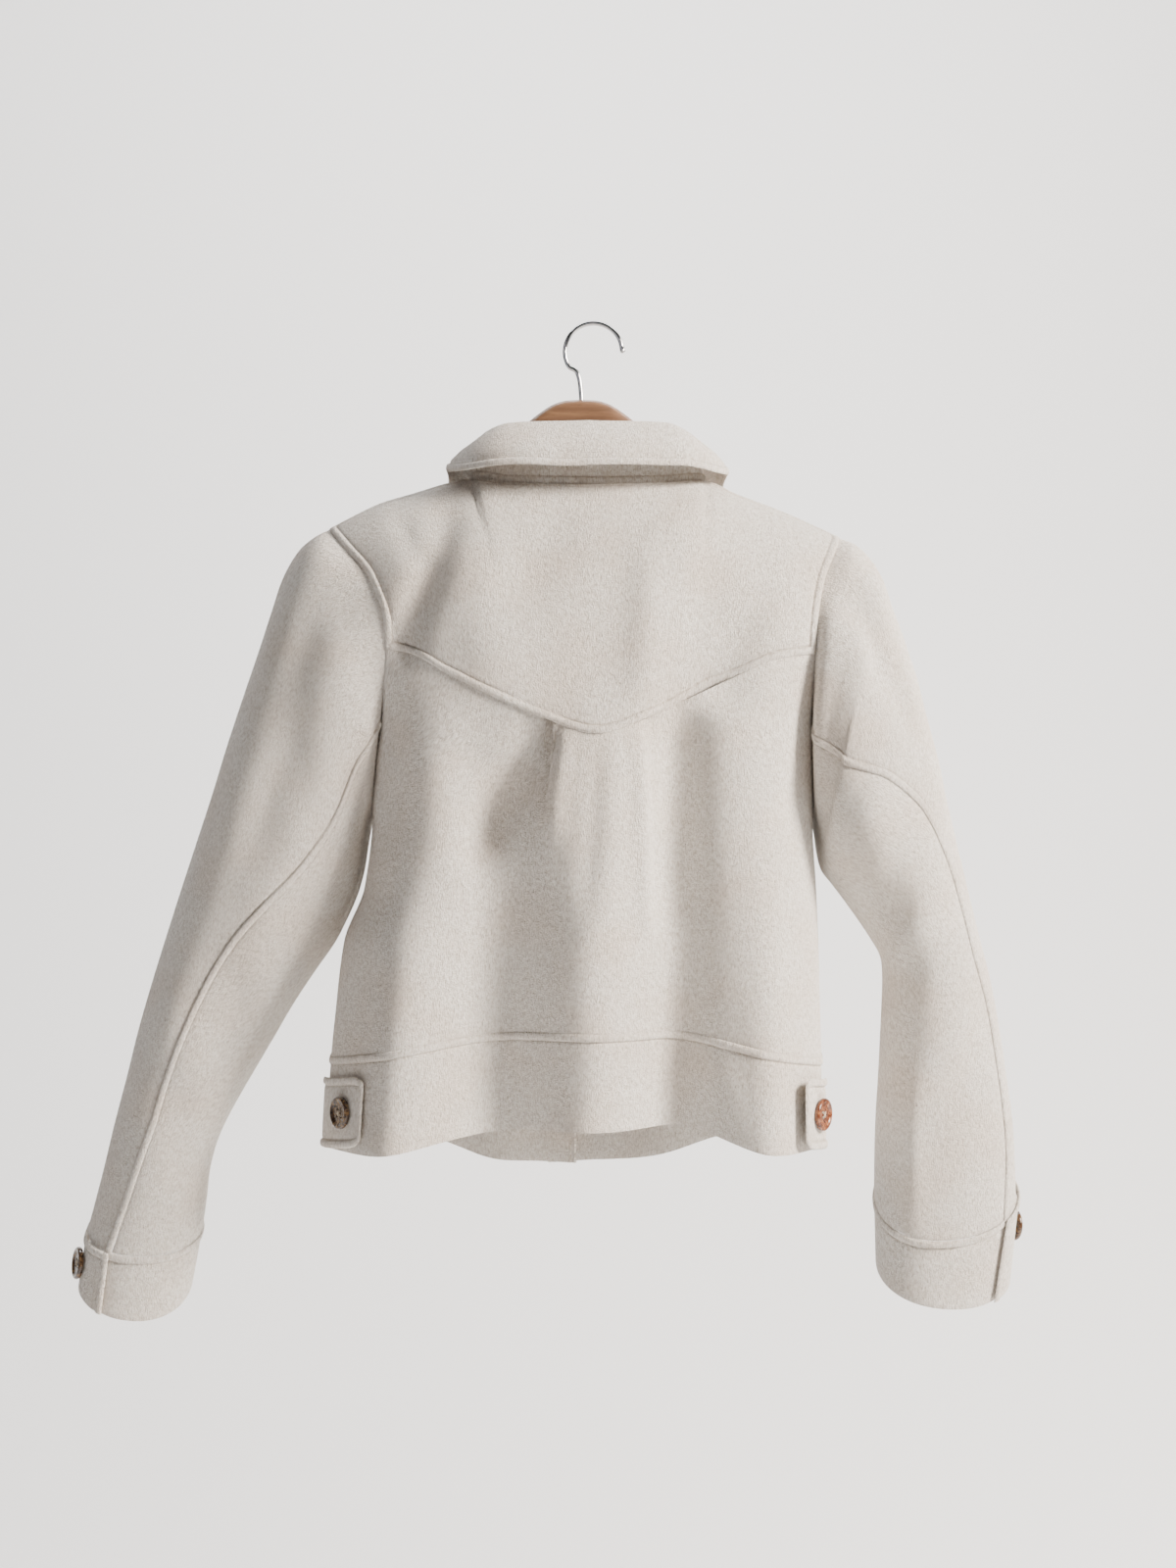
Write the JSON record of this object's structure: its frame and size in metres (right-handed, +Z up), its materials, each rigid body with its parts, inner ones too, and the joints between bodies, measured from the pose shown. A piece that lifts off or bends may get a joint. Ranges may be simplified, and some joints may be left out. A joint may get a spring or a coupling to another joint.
{
  "type": "boxy jacket on a clothes hanger",
  "caption": "Cropped boxy wool jacket with a pointed back yoke, a back box pleat, a turned-down collar and a buttoned waistband, hung on a wooden hanger.",
  "frame": {"origin": "inner top of the hook's bend, where the hanger rests on what carries it", "axes": "+Z up, -Y out of the jacket's back, +Y out of its front, +X to the right seen from the back"},
  "size_m": [0.7514, 0.1913, 0.7787],
  "materials": {
    "wool": "brushed double-faced wool, cream",
    "horn": "marbled brown horn",
    "hanger_wood": "lacquered brown beech",
    "hook_chrome": "polished chrome wire"
  },
  "bodies": {
    "root": {"back_yoke": "wool", "back_panel": "wool", "waistband_back": "wool", "front_left": "wool", "front_right": "wool", "waistband_left": "wool", "waistband_right": "wool", "collar_stand": "wool", "collar_fall": "wool", "sleeve_upper_left": "wool", "sleeve_upper_right": "wool", "sleeve_under_left": "wool", "sleeve_under_right": "wool", "cuff_left": "wool", "cuff_right": "wool", "waist_tab_left": "wool", "waist_tab_right": "wool", "button_tab_left": "horn", "button_tab_right": "horn", "button_cuff_left": "horn", "button_cuff_right": "horn", "button_front_1": "horn", "button_front_2": "horn", "button_front_3": "horn", "button_front_4": "horn", "button_front_5": "horn", "hanger_wood": "hanger_wood", "hanger_hook": "hook_chrome"}
  },
  "joints": []
}
